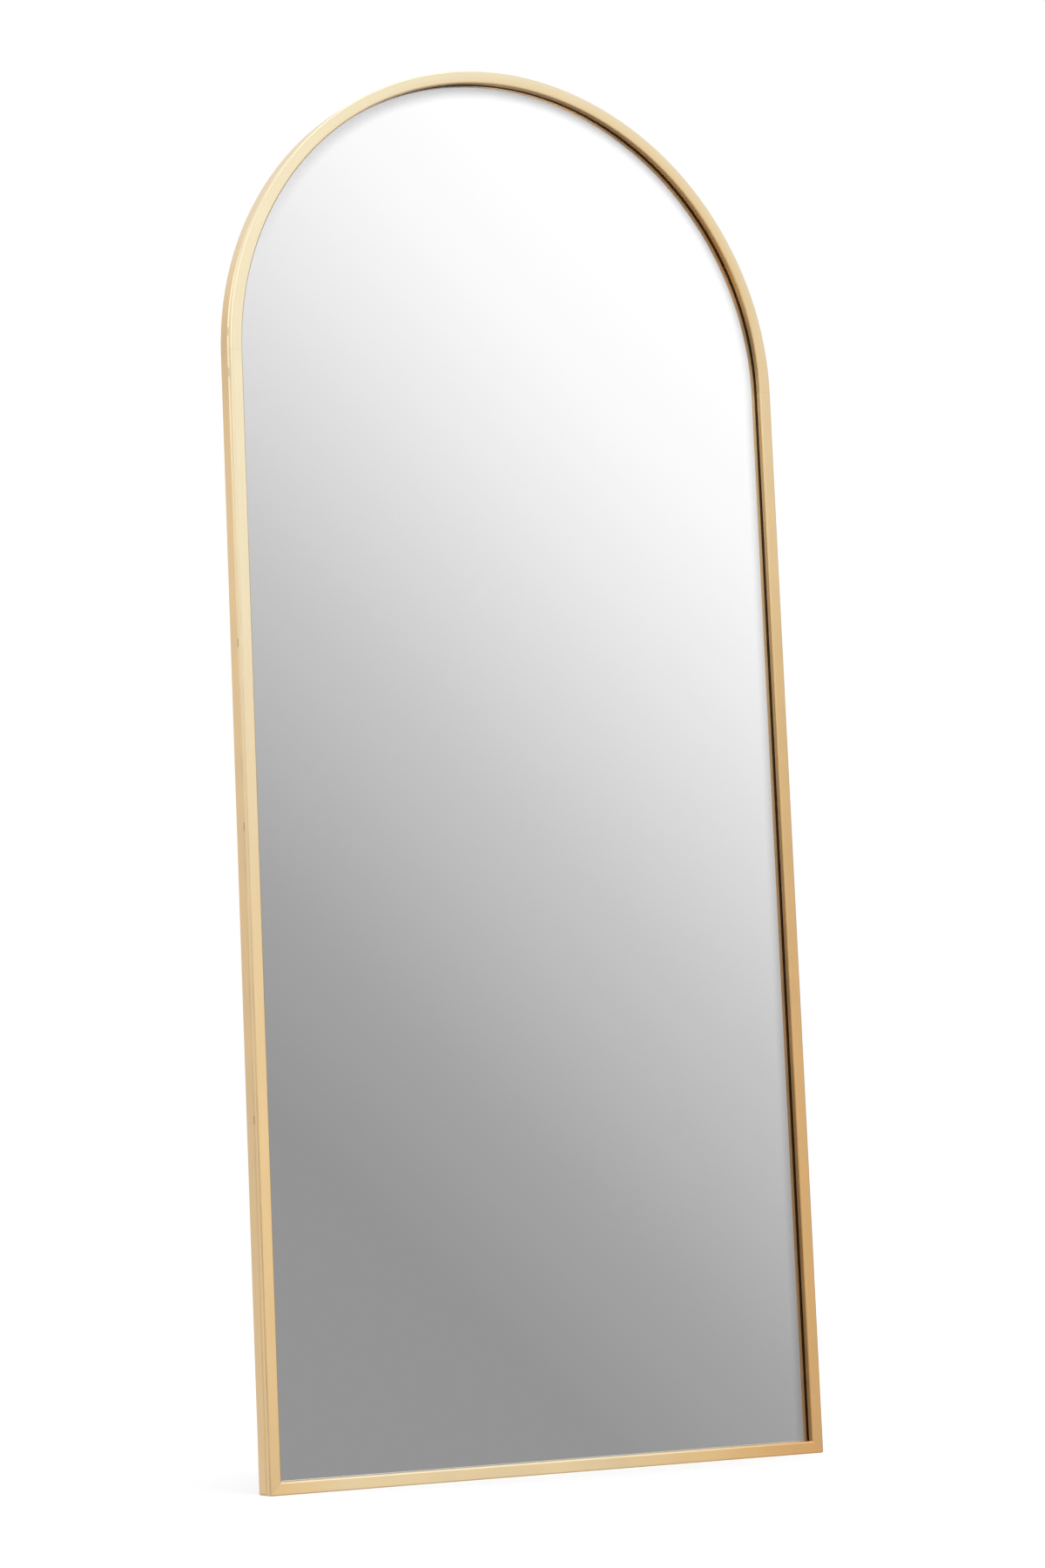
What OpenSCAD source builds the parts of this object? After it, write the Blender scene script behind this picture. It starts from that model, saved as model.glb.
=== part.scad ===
// Arched full-length wall mirror in a slim metal frame, hung on two D-rings.
// Millimetres. X runs across the mirror, Y from its face towards the wall, Z up.
// The origin is on the bottom edge, at the middle of the width and of the whole depth.

/* [Overall] */
// Width over the frame, which is also the width of the arch
mirror_width = 750; // [560:5:1000]
// Height over the frame, from its bottom edge to the top of the arch
mirror_height = 1700; // [1500:10:2100]
// Depth of the frame from its face to its back edge
frame_depth = 30; // [28:0.5:45]

/* [Frame extrusion] */
// Width of the frame's face
face_width = 15; // [13.5:0.5:24]
// Thickness of the wall on the outside of the frame
outer_wall = 1.8; // [1.4:0.1:2.4]
// Thickness of the other walls of the front chamber
chamber_wall = 1.4; // [1:0.1:2]
// Depth of the hollow front chamber, whose back wall is the seat of the glass
chamber_depth = 8; // [6:0.5:12]
// Reach of the two rear lips, from the outer face inwards
lip_reach = 16; // [15:0.5:20]
// Thickness of each rear lip
lip_thickness = 1.2; // [0.8:0.1:1.6]
// Width of the slot between the lips, which holds the keys
slot_width = 2.8; // [2.4:0.1:4]
// Radius of the outer front edge
front_edge_radius = 1.5; // [0.5:0.1:2.5]
// Radius of the front edge beside the glass
inner_edge_radius = 2; // [0.5:0.1:2.5]
// Radius of the outer back edge, which its wall limits
back_edge_radius = 1.6; // [0.5:0.1:1.6]
// Distance from the face to the shallow reveal along the frame's outer side
reveal_setback = 4.5; // [4:0.5:8]
// Width of that reveal's floor
reveal_width = 4.5; // [1:0.5:6]
// Depth of that reveal in the outer wall
reveal_depth = 0.8; // [0.3:0.1:0.9]
// Run of the bevel from the reveal's floor back to the outer face
reveal_bevel = 1.7; // [0.2:0.1:3]
// Radius of the two bottom corners, seen from the front
corner_radius = 3; // [1:0.5:4]
// Gap in the joint line of a mitred bottom corner
mitre_gap = 0.05; // [0:0.05:0.3]
// Gap in the joint line between the arch and a stile
splice_gap = 0.1; // [0:0.05:0.5]

/* [Glass] */
// Thickness of the float glass
glass_thickness = 4; // [3:1:6]
// Room between the edge of the glass and the outer wall
glass_clearance = 2; // [1.5:0.5:3]
// Gap in which the silvering meets the glass
coating_gap = 0.05; // [0.02:0.01:0.1]
// Thickness of the silvering with its lacquer
coating_thickness = 0.1; // [0.05:0.05:0.3]
// Thickness of the safety film on the back of the silvering
film_thickness = 0.2; // [0.1:0.1:0.5]
// Thickness of the tape between the seat and the glass
tape_thickness = 0.5; // [0.3:0.1:1]
// Width of that tape
tape_width = 8; // [4:0.5:9]
// Setback of the tape from the inner edge of the frame
tape_setback = 1.5; // [0.5:0.5:2.5]
// Length of each setting block under the glass
block_length = 60; // [40:5:90]
// Depth of each setting block, from the seat towards the back
block_depth = 8; // [6:0.5:9]
// Width of the soft strips behind the edge of the glass
strip_width = 9; // [6:0.5:10]
// Setback of those strips from the edge of the glass
strip_setback = 1; // [0.5:0.5:2]

/* [Back] */
// Thickness of the back board
board_thickness = 4; // [3:0.5:6]
// Recess of the board from the back edge of the frame
board_recess = 0.5; // [0.3:0.1:1.5]
// Room between the edge of the board and the outer wall
board_clearance = 0.6; // [0.4:0.1:1]
// Room round the core sheet, beside the lips and the hanger plates
core_clearance = 1.5; // [1:0.5:4]
// Number of board screws in each stile
stile_screw_count = 5; // [3:1:8]
// Number of board screws in the arch
arch_screw_count = 5; // [3:2:9]
// Number of board screws in the bottom rail
bottom_screw_count = 3; // [2:1:5]
// Angle of the first board screw in the arch, above the spring line
arch_screw_angle = 18; // [14:1:30]
// Distance from a bumper, a plate or a corner key to the nearest board screw
board_screw_margin = 50; // [20:5:80]
// Radius of a board screw's shank
board_screw_radius = 1.45; // [1.2:0.05:1.7]

/* [Keys] */
// Room between a key and each side of its slot
key_clearance = 0.1; // [0.05:0.05:0.2]
// Room between a key's edge and the outer wall
key_setback = 0.4; // [0.2:0.1:1]
// Width of the corner keys and the splice keys
key_width = 10; // [8:0.5:10.5]
// Length of each leg of a corner key
corner_key_leg = 70; // [60:5:100]
// Length of a splice key above and below the spring line
splice_key_leg = 45; // [40:5:55]
// Distance from the end of a key or plate to its nearest grub screw
grub_margin = 12; // [8:1:15]
// Distance between the two grub screws in a leg of a corner key
corner_grub_pitch = 28; // [20:1:34]
// Distance between the two grub screws on one side of a splice
splice_grub_pitch = 20; // [12:1:24]
// Radius of a grub screw
grub_radius = 2; // [1.5:0.25:2.5]
// Room round a grub screw in its tapped hole
thread_room = 0.05; // [0.02:0.01:0.1]
// Radius of the access hole in the lip behind a grub screw
access_radius = 2.6; // [2.2:0.1:3.5]

/* [Hangers] */
// Distance of the ring axis below the spring line of the arch
hanger_drop = 110; // [80:5:300]
// Distance of the hanger's centre line from the outer face
hanger_inset = 22; // [20:1:40]
// Height of the steel plate in front of the board that the strap is screwed to
plate_height = 90; // [80:5:120]
// Reach of that plate above the ring axis
plate_rise = 9; // [5:1:15]
// Reach of that plate beyond the inner edge of the strap
plate_margin = 5; // [3:1:15]
// Width of the strap
strap_width = 14; // [10:0.5:15]
// Thickness of the strap
strap_thickness = 1.2; // [0.8:0.1:1.6]
// Distance from the ring axis to the first strap screw
strap_screw_start = 27; // [25:1:30]
// Distance between the two strap screws
strap_screw_pitch = 18; // [14:1:20]
// Length of the strap below its last screw
strap_end = 9; // [8:0.5:20]
// Radius of a strap screw's shank
strap_screw_radius = 2; // [1.5:0.25:2.25]
// Radius of the ring's wire
wire_radius = 1.5; // [1:0.1:2]
// Room between the wire and the knuckle that it turns in
hinge_room = 0.08; // [0.02:0.01:0.1]
// Gap between the hanging ring and the strap behind it
ring_gap = 1; // [0.6:0.1:2]
// Width of the opening in the ring
ring_opening = 20; // [18:1:24]
// Length of the ring's straight legs, between its bend and its round end
ring_leg = 1; // [0.5:0.5:4]
// Radius of the bend between the ring's bar and its legs, at the middle of the wire
ring_bend = 2.5; // [2:0.1:3]

/* [Wall bumpers] */
// Radius of a rubber bumper
bumper_radius = 8; // [6:0.5:10]
// Distance from a bumper to the edge of the board
bumper_margin = 1.7; // [0.1:0.1:2]
// Height of a bumper on the board
bumper_height = 8.5; // [7.5:0.5:14]
// Height of the bumpers' centres above the bottom edge
bumper_z = 112; // [90:1:200]
// Radius of a bumper's outer edge
bumper_edge = 1.5; // [0.5:0.25:2]
// Depth of the recess for the screw's head
bumper_recess = 4; // [3:0.5:5]
// Radius of a bumper screw's shank
bumper_screw_radius = 1.75; // [1.5:0.05:2]

/* [Hidden] */
$fn = 64;
arch_facets = 360;
// Overshoot of a cut past the face that it opens
cut = 1;
// Gap between two soft or laid pieces that are not pressed together
seat_room = 0.1;
// Gap round a screw's head in a recess
head_room = 0.4;

// The arch is a half circle over the whole width
arch_radius = mirror_width / 2;
spring_z = mirror_height - arch_radius;

// Depths are measured from the frame's face
seat_depth = chamber_depth;
glass_front = seat_depth + tape_thickness;
glass_back = glass_front + glass_thickness;
coating_front = glass_back + coating_gap;
film_front = coating_front + coating_thickness;
film_back = film_front + film_thickness;
board_back = frame_depth - board_recess;
board_front = board_back - board_thickness;
rear_lip_front = board_front - lip_thickness;
slot_front = rear_lip_front - slot_width;
front_lip_front = slot_front - lip_thickness;
key_front = slot_front + key_clearance;
key_back = rear_lip_front - key_clearance;
wall_plane = board_back + bumper_height;
face_y = -wall_plane / 2;

// Insets are measured from the outer face of the frame
glass_inset = outer_wall + glass_clearance;
board_inset = outer_wall + board_clearance;
core_inset = lip_reach + core_clearance;
tape_inset = face_width - tape_setback;
strip_inset = glass_inset + strip_setback;
lip_line = (outer_wall + lip_reach) / 2;
bumper_inset = board_inset + bumper_radius + bumper_margin;
corner_key_inset = outer_wall + key_setback;
corner_key_line = corner_key_inset + key_width / 2;
plate_inset = outer_wall + key_setback;

// The straight splice key clears the curved outer wall at its upper end
splice_key_x = sqrt(pow(arch_radius - outer_wall, 2) - pow(splice_key_leg, 2)) - key_setback;
splice_line_x = splice_key_x - key_width / 2;

// The hangers follow the spring line
hanger_height = spring_z - hanger_drop;
plate_width = hanger_inset + strap_width / 2 + plate_margin - plate_inset;
plate_top = hanger_height + plate_rise;
plate_bottom = plate_top - plate_height;

// Grub screws, two in each leg or side, counted from the end of the key
corner_grub_steps = [for (i = [1, 0]) corner_key_leg - grub_margin - i * corner_grub_pitch];
splice_grub_steps = [for (i = [1, 0]) splice_key_leg - grub_margin - i * splice_grub_pitch];
plate_grub_zs = [plate_bottom + grub_margin, plate_top - grub_margin];
corner_grub_points = concat(
    [for (step = corner_grub_steps) [arch_radius - corner_key_line, step]],
    [for (step = corner_grub_steps) [arch_radius - step, corner_key_line]]
);
splice_grub_points = concat(
    [for (step = splice_grub_steps) [splice_line_x, spring_z - step]],
    [for (step = splice_grub_steps) [splice_line_x, spring_z + step]]
);
plate_grub_points = [for (z = plate_grub_zs) [arch_radius - lip_line, z]];
grub_points = concat(corner_grub_points, splice_grub_points, plate_grub_points);

// Board screws keep clear of the keys, the bumpers and the hanger plates
stile_screw_low = bumper_z + bumper_radius + board_screw_margin;
stile_screw_high = plate_bottom - board_screw_margin;
stile_screw_step = (stile_screw_high - stile_screw_low) / (stile_screw_count - 1);
stile_screw_points = [
    for (i = [0:stile_screw_count - 1])
        [arch_radius - lip_line, stile_screw_low + i * stile_screw_step]
];
arch_screw_step = (180 - 2 * arch_screw_angle) / (arch_screw_count - 1);
arch_screw_points = [
    for (i = [0:arch_screw_count - 1])
        let (angle = arch_screw_angle + i * arch_screw_step)
            [(arch_radius - lip_line) * cos(angle), spring_z + (arch_radius - lip_line) * sin(angle)]
];
bottom_screw_reach = arch_radius - corner_key_leg - board_screw_margin;
bottom_screw_step = 2 * bottom_screw_reach / (bottom_screw_count - 1);
bottom_screw_points = [
    for (i = [0:bottom_screw_count - 1]) [-bottom_screw_reach + i * bottom_screw_step, lip_line]
];
board_screw_length = board_back - slot_front - slot_width / 2;
board_screw_head_radius = board_screw_radius * 2.2;
board_screw_head_height = 2;

// Hanger parts
hanger_x = arch_radius - hanger_inset;
strap_screw_points = [
    for (i = [0:1]) [hanger_x, hanger_height - strap_screw_start - i * strap_screw_pitch]
];
strap_length = strap_screw_start + strap_screw_pitch + strap_end;
strap_back = board_back + strap_thickness;
strap_screw_length = strap_back - key_front;
strap_head_radius = strap_screw_radius * 1.85;
strap_head_height = 2.2;
ring_depth = strap_back + ring_gap + wire_radius;
knuckle_bore = wire_radius + hinge_room;
knuckle_radius = knuckle_bore + strap_thickness;
ring_round = ring_opening / 2 + wire_radius;

// Bumper screws pass the board and the rear lip
bumper_screw_point = [arch_radius - bumper_inset, bumper_z];
bumper_screw_head_radius = bumper_screw_radius * 1.9;
bumper_screw_head_height = 2.4;
bumper_seat = wall_plane - bumper_recess;

// Finishes
gold = "#d9b878";
gold_shade = "#cdaa6c";
steel = "#b9bcc0";
black = "#2b2b2d";

// Places a shape drawn in X and Z as a layer between two depths
module layer(front, back) {
    translate([0, face_y + back, 0])
        rotate([90, 0, 0])
            linear_extrude(height = back - front)
                children();
}

// A round hole or shank along Y at an X and Z point, between two depths
module drill(point, radius, front, back) {
    translate([point[0], face_y + front, point[1]])
        rotate([-90, 0, 0])
            cylinder(h = back - front, r = radius);
}

// The mirror's outline, drawn in by an inset
module arch_outline(inset) {
    translate([0, spring_z])
        circle(r = arch_radius - inset, $fn = arch_facets);
    translate([inset - arch_radius, inset])
        square([2 * (arch_radius - inset), spring_z - inset]);
}

// Both sides of the mirror, from a part drawn on its right side
module both_sides() {
    children();
    mirror([1, 0, 0])
        children();
}

// The waste of a square corner at the origin that is rounded to a radius
module corner_waste(radius) {
    difference() {
        translate([-cut, -cut])
            square(radius + cut);
        translate([radius, radius])
            circle(r = radius);
        translate([radius, -cut * 2])
            square(radius + cut * 4);
        translate([-cut * 2, radius])
            square(radius + cut * 4);
    }
}

// Section of the extrusion: X runs from the outer face inwards, Y from the face to the back
module frame_section() {
    difference() {
        union() {
            square([face_width, chamber_depth]);
            square([outer_wall, frame_depth]);
            translate([0, front_lip_front])
                square([lip_reach, lip_thickness]);
            translate([0, rear_lip_front])
                square([lip_reach, lip_thickness]);
        }
        translate([outer_wall, chamber_wall])
            square([face_width - outer_wall - chamber_wall, chamber_depth - 2 * chamber_wall]);
        translate([0, reveal_setback])
            polygon([
                [-cut, 0], [reveal_depth, 0], [reveal_depth, reveal_width],
                [0, reveal_width + reveal_bevel], [-cut, reveal_width + reveal_bevel]
            ]);
        corner_waste(front_edge_radius);
        translate([face_width, 0])
            mirror([1, 0])
                corner_waste(inner_edge_radius);
        translate([0, frame_depth])
            mirror([0, 1])
                corner_waste(min(back_edge_radius, outer_wall));
    }
}

// The triangle beyond the mitre line at the right bottom corner, for a stile or for the rail
module mitre_waste(for_stile) {
    reach = max(lip_reach, face_width) + 2 * cut;
    shift = mitre_gap / 2;
    translate([arch_radius, 0])
        layer(-cut, frame_depth + cut)
            polygon(for_stile
                ? [[cut, shift - cut], [-reach, reach + shift], [-reach, -cut], [cut, -2 * cut]]
                : [[cut, -shift - cut], [-reach, reach - shift], [cut, reach - shift]]);
}

// The waste of the rounded bottom corner on the right side
module bottom_corner_waste() {
    translate([arch_radius, 0])
        layer(-cut, frame_depth + cut)
            mirror([1, 0])
                corner_waste(corner_radius);
}

// Holes in the rear lip of the right stile
module stile_holes() {
    for (point = stile_screw_points)
        drill(point, board_screw_radius + thread_room, rear_lip_front - cut, board_front + cut);
    drill(bumper_screw_point, bumper_screw_radius + thread_room, rear_lip_front - cut, board_front + cut);
    for (point = [corner_grub_points[0], corner_grub_points[1], splice_grub_points[0],
                  splice_grub_points[1], plate_grub_points[0], plate_grub_points[1]])
        drill(point, access_radius, rear_lip_front - cut, board_front + cut);
}

module right_side_stile() {
    difference() {
        translate([arch_radius, face_y, 0])
            mirror([1, 0, 0])
                linear_extrude(height = spring_z - splice_gap)
                    frame_section();
        mitre_waste(true);
        bottom_corner_waste();
        stile_holes();
    }
}

module right_stile() {
    color(gold)
        right_side_stile();
}

module left_stile() {
    color(gold)
        mirror([1, 0, 0])
            right_side_stile();
}

module bottom_rail() {
    color(gold)
        difference() {
            translate([arch_radius, face_y, 0])
                rotate([0, -90, 0])
                    linear_extrude(height = mirror_width)
                        frame_section();
            both_sides() {
                mitre_waste(false);
                bottom_corner_waste();
                for (i = [2, 3])
                    drill(corner_grub_points[i], access_radius, rear_lip_front - cut, board_front + cut);
            }
            for (point = bottom_screw_points)
                drill(point, board_screw_radius + thread_room, rear_lip_front - cut, board_front + cut);
        }
}

module arch_rail() {
    color(gold)
        difference() {
            translate([0, face_y, spring_z])
                rotate([90, 0, 0])
                    mirror([0, 0, 1])
                        rotate_extrude(angle = 180, $fn = arch_facets)
                            translate([arch_radius, 0])
                                mirror([1, 0])
                                    frame_section();
            both_sides()
                for (i = [2, 3])
                    drill(splice_grub_points[i], access_radius, rear_lip_front - cut, board_front + cut);
            for (point = arch_screw_points)
                drill(point, board_screw_radius + thread_room, rear_lip_front - cut, board_front + cut);
        }
}

// An L-shaped plate in the slots of a stile and the bottom rail
module right_side_corner_key() {
    corner_x = arch_radius - corner_key_inset;
    difference() {
        layer(key_front, key_back)
            union() {
                translate([corner_x - key_width, corner_key_inset])
                    square([key_width, corner_key_leg - corner_key_inset]);
                translate([arch_radius - corner_key_leg, corner_key_inset])
                    square([corner_key_leg - corner_key_inset, key_width]);
            }
        for (point = corner_grub_points)
            drill(point, grub_radius + thread_room, key_front - cut, key_back + cut);
    }
}

module right_corner_key() {
    color(steel)
        right_side_corner_key();
}

module left_corner_key() {
    color(steel)
        mirror([1, 0, 0])
            right_side_corner_key();
}

// A straight plate in the slots of a stile and the arch
module right_side_splice_key() {
    difference() {
        layer(key_front, key_back)
            translate([splice_key_x - key_width, spring_z - splice_key_leg])
                square([key_width, 2 * splice_key_leg]);
        for (point = splice_grub_points)
            drill(point, grub_radius + thread_room, key_front - cut, key_back + cut);
    }
}

module right_splice_key() {
    color(steel)
        right_side_splice_key();
}

module left_splice_key() {
    color(steel)
        mirror([1, 0, 0])
            right_side_splice_key();
}

// One grub screw with a hexagon socket, from the front lip to the back of its key
module grub_screw(point) {
    socket_radius = grub_radius * 0.58;
    socket_depth = (key_back - slot_front) * 0.55;
    difference() {
        drill(point, grub_radius, slot_front, key_back);
        translate([point[0], face_y + key_back - socket_depth, point[1]])
            rotate([-90, 0, 0])
                cylinder(h = socket_depth + cut, r = socket_radius, $fn = 6);
    }
}

module grub_screws() {
    color(steel)
        both_sides()
            for (point = grub_points)
                grub_screw(point);
}

module mirror_glass() {
    color("#b9d3cc", 0.45)
        layer(glass_front, glass_back)
            arch_outline(glass_inset);
}

module silver_coating() {
    color("#c6c9cc")
        layer(coating_front, film_front)
            arch_outline(glass_inset);
}

module safety_film() {
    color("#8d9aa6")
        layer(film_front, film_back)
            arch_outline(glass_inset);
}

// A closed band of tape on the seat, round the whole glass
module glazing_tape() {
    color(black)
        layer(seat_depth, glass_front)
            difference() {
                arch_outline(tape_inset - tape_width);
                arch_outline(tape_inset);
            }
}

module setting_blocks() {
    block_x = arch_radius / 2;
    color(black)
        both_sides()
            translate([block_x - block_length / 2, face_y + seat_depth + seat_room, outer_wall])
                cube([block_length, block_depth, glass_clearance]);
}

// Section of a soft strip behind the glass, as in the frame's section
module strip_section() {
    translate([strip_inset, film_back])
        square([strip_width, front_lip_front - film_back]);
}

module right_side_strip() {
    translate([arch_radius, face_y, strip_inset])
        mirror([1, 0, 0])
            linear_extrude(height = spring_z - strip_inset - seat_room)
                strip_section();
}

module right_glazing_strip() {
    color(black)
        right_side_strip();
}

module left_glazing_strip() {
    color(black)
        mirror([1, 0, 0])
            right_side_strip();
}

module arch_glazing_strip() {
    color(black)
        translate([0, face_y, spring_z])
            rotate([90, 0, 0])
                mirror([0, 0, 1])
                    rotate_extrude(angle = 180, $fn = arch_facets)
                        translate([arch_radius, 0])
                            mirror([1, 0])
                                strip_section();
}

module bottom_glazing_strip() {
    strip_reach = arch_radius - strip_inset - strip_width - seat_room;
    color(black)
        translate([strip_reach, face_y, 0])
            rotate([0, -90, 0])
                linear_extrude(height = 2 * strip_reach)
                    strip_section();
}

// A honeycomb sheet that fills the room between the film and the board, notched for the plates
module core_sheet() {
    notch_bottom = plate_bottom - core_clearance;
    notch_height = plate_height + 2 * core_clearance;
    notch_x = arch_radius - plate_inset - plate_width - core_clearance;
    color("#b79a6c")
        layer(film_back, board_front - seat_room)
            difference() {
                arch_outline(core_inset);
                both_sides()
                    translate([notch_x, notch_bottom])
                        square([arch_radius - notch_x, notch_height]);
            }
}

module back_board() {
    color("#3a3632")
        difference() {
            layer(board_front, board_back)
                arch_outline(board_inset);
            both_sides() {
                for (point = stile_screw_points)
                    drill(point, board_screw_radius + thread_room, board_front - cut, board_back + cut);
                for (point = strap_screw_points)
                    drill(point, strap_screw_radius + thread_room, board_front - cut, board_back + cut);
                drill(bumper_screw_point, bumper_screw_radius + thread_room,
                    board_front - cut, board_back + cut);
            }
            for (point = concat(arch_screw_points, bottom_screw_points))
                drill(point, board_screw_radius + thread_room, board_front - cut, board_back + cut);
        }
}

// A screw with a domed head and a cross recess, its head's underside at the given depth
module domed_screw(point, seat, shank_radius, shank_length, head_radius, head_height) {
    dome_radius = head_radius * 1.5;
    tip_length = shank_radius * 0.8;
    recess_width = head_radius * 0.28;
    recess_length = head_radius * 1.2;
    recess_depth = head_height * 0.55;
    translate([point[0], face_y + seat, point[1]])
        rotate([-90, 0, 0]) {
            difference() {
                intersection() {
                    cylinder(h = head_height, r = head_radius);
                    translate([0, 0, head_height - dome_radius])
                        sphere(r = dome_radius);
                }
                for (turn = [0, 90])
                    rotate([0, 0, turn])
                        translate([-recess_length / 2, -recess_width / 2, head_height - recess_depth])
                            cube([recess_length, recess_width, recess_depth + cut]);
            }
            translate([0, 0, tip_length - shank_length])
                cylinder(h = shank_length - tip_length + cut / 2, r = shank_radius);
            translate([0, 0, -shank_length])
                cylinder(h = tip_length, r1 = shank_radius * 0.4, r2 = shank_radius);
        }
}

module board_screw(point) {
    domed_screw(point, board_back, board_screw_radius, board_screw_length,
        board_screw_head_radius, board_screw_head_height);
}

module back_board_screws() {
    color(black) {
        both_sides()
            for (point = stile_screw_points)
                board_screw(point);
        for (point = concat(arch_screw_points, bottom_screw_points))
            board_screw(point);
    }
}

// A steel plate that slides into the stile's slot and takes the hanger's screws
module right_side_hanger_plate() {
    difference() {
        layer(key_front, key_back)
            translate([arch_radius - plate_inset - plate_width, plate_bottom])
                square([plate_width, plate_height]);
        for (point = plate_grub_points)
            drill(point, grub_radius + thread_room, key_front - cut, key_back + cut);
        for (point = strap_screw_points)
            drill(point, strap_screw_radius + thread_room, key_front - cut, key_back + cut);
    }
}

module right_hanger_plate() {
    color(steel)
        right_side_hanger_plate();
}

module left_hanger_plate() {
    color(steel)
        mirror([1, 0, 0])
            right_side_hanger_plate();
}

// A strap that lies on the board and curls round the ring's bar at its top
module right_side_hanger_strap() {
    end_radius = strap_width / 2;
    joggle = 2 * knuckle_radius;
    slit = 0.5;
    difference() {
        union() {
            layer(board_back, strap_back) {
                translate([hanger_x - end_radius, hanger_height - strap_length + end_radius])
                    square([strap_width, strap_length - end_radius - joggle]);
                translate([hanger_x, hanger_height - strap_length + end_radius])
                    circle(r = end_radius);
            }
            translate([hanger_x - end_radius, face_y, hanger_height])
                rotate([90, 0, 90])
                    linear_extrude(height = strap_width) {
                        polygon([
                            [board_back, -joggle], [strap_back, -joggle],
                            [ring_depth - knuckle_bore, 0], [ring_depth - knuckle_radius, 0]
                        ]);
                        translate([ring_depth, 0])
                            circle(r = knuckle_radius);
                    }
        }
        translate([hanger_x, face_y + ring_depth, hanger_height])
            rotate([0, 90, 0])
                cylinder(h = strap_width + 2 * cut, r = knuckle_bore, center = true);
        translate([hanger_x - end_radius - cut, face_y + ring_depth, hanger_height - knuckle_radius - cut])
            cube([strap_width + 2 * cut, slit, knuckle_radius + cut]);
        for (point = strap_screw_points)
            drill(point, strap_screw_radius + thread_room, board_back - cut, strap_back + cut);
    }
}

module right_hanger_strap() {
    color(steel)
        right_side_hanger_strap();
}

module left_hanger_strap() {
    color(steel)
        mirror([1, 0, 0])
            right_side_hanger_strap();
}

// A D of round wire, hanging from its straight bar
module right_side_hanger_ring() {
    bar_half = ring_round - ring_bend;
    translate([hanger_x, face_y + ring_depth, hanger_height])
        rotate([90, 0, 0]) {
            rotate([0, 90, 0])
                cylinder(h = 2 * bar_half, r = wire_radius, center = true);
            for (side = [0, 1])
                mirror([side, 0, 0]) {
                    translate([bar_half, -ring_bend, 0])
                        rotate_extrude(angle = 90)
                            translate([ring_bend, 0])
                                circle(r = wire_radius);
                    translate([ring_round, -ring_bend - ring_leg, 0])
                        rotate([-90, 0, 0])
                            cylinder(h = ring_leg, r = wire_radius);
                }
            translate([0, -ring_bend - ring_leg, 0])
                rotate([0, 0, 180])
                    rotate_extrude(angle = 180)
                        translate([ring_round, 0])
                            circle(r = wire_radius);
        }
}

module right_hanger_ring() {
    color(steel)
        right_side_hanger_ring();
}

module left_hanger_ring() {
    color(steel)
        mirror([1, 0, 0])
            right_side_hanger_ring();
}

module hanger_screws() {
    color(steel)
        both_sides()
            for (point = strap_screw_points)
                domed_screw(point, strap_back, strap_screw_radius, strap_screw_length,
                    strap_head_radius, strap_head_height);
}

// A turned rubber bumper with a recess for its screw
module right_side_wall_bumper() {
    hole_radius = bumper_screw_radius + thread_room;
    recess_radius = bumper_screw_head_radius + head_room;
    translate([bumper_screw_point[0], face_y + board_back, bumper_z])
        rotate([-90, 0, 0])
            rotate_extrude()
                difference() {
                    translate([hole_radius, 0])
                        square([bumper_radius - hole_radius, bumper_height]);
                    translate([hole_radius - cut, bumper_height - bumper_recess])
                        square([recess_radius - hole_radius + cut, bumper_recess + cut]);
                    translate([bumper_radius, bumper_height])
                        mirror([1, 0])
                            mirror([0, 1])
                                corner_waste(bumper_edge);
                }
}

module right_wall_bumper() {
    color(black)
        right_side_wall_bumper();
}

module left_wall_bumper() {
    color(black)
        mirror([1, 0, 0])
            right_side_wall_bumper();
}

module bumper_screws() {
    shank_length = bumper_seat - slot_front - slot_width / 2;
    color(steel)
        both_sides()
            domed_screw(bumper_screw_point, bumper_seat, bumper_screw_radius, shank_length,
                bumper_screw_head_radius, bumper_screw_head_height);
}

arch_rail();
left_stile();
right_stile();
bottom_rail();
left_corner_key();
right_corner_key();
left_splice_key();
right_splice_key();
grub_screws();
mirror_glass();
silver_coating();
safety_film();
glazing_tape();
setting_blocks();
arch_glazing_strip();
left_glazing_strip();
right_glazing_strip();
bottom_glazing_strip();
core_sheet();
back_board();
back_board_screws();
left_hanger_plate();
right_hanger_plate();
left_hanger_strap();
right_hanger_strap();
left_hanger_ring();
right_hanger_ring();
hanger_screws();
left_wall_bumper();
right_wall_bumper();
bumper_screws();
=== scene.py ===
import math
import bpy
from mathutils import Matrix, Vector


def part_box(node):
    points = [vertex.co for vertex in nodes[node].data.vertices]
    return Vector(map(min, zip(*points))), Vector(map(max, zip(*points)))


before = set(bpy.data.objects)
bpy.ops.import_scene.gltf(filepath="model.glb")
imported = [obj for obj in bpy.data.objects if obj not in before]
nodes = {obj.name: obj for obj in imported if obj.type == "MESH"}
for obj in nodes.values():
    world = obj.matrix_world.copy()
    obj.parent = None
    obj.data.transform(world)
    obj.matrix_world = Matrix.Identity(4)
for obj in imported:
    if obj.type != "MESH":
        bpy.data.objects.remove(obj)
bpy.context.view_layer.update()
print("frame loaded:", len(nodes), "parts")

mm = 0.001

# Places that the finishes and the camera follow, read from the frame
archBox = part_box("arch_rail")
halfWidth = archBox[1].x
faceDepth = archBox[0].y
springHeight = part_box("left_stile")[1].z

faceWidth = 15 * mm            # from the frame's outer side to its lip

# Where most of a noise texture's values lie, and the narrower span that gives a crisper pattern
softSpan = {"From Min": 0.3, "From Max": 0.7}
crispSpan = {"From Min": 0.35, "From Max": 0.65}


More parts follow.
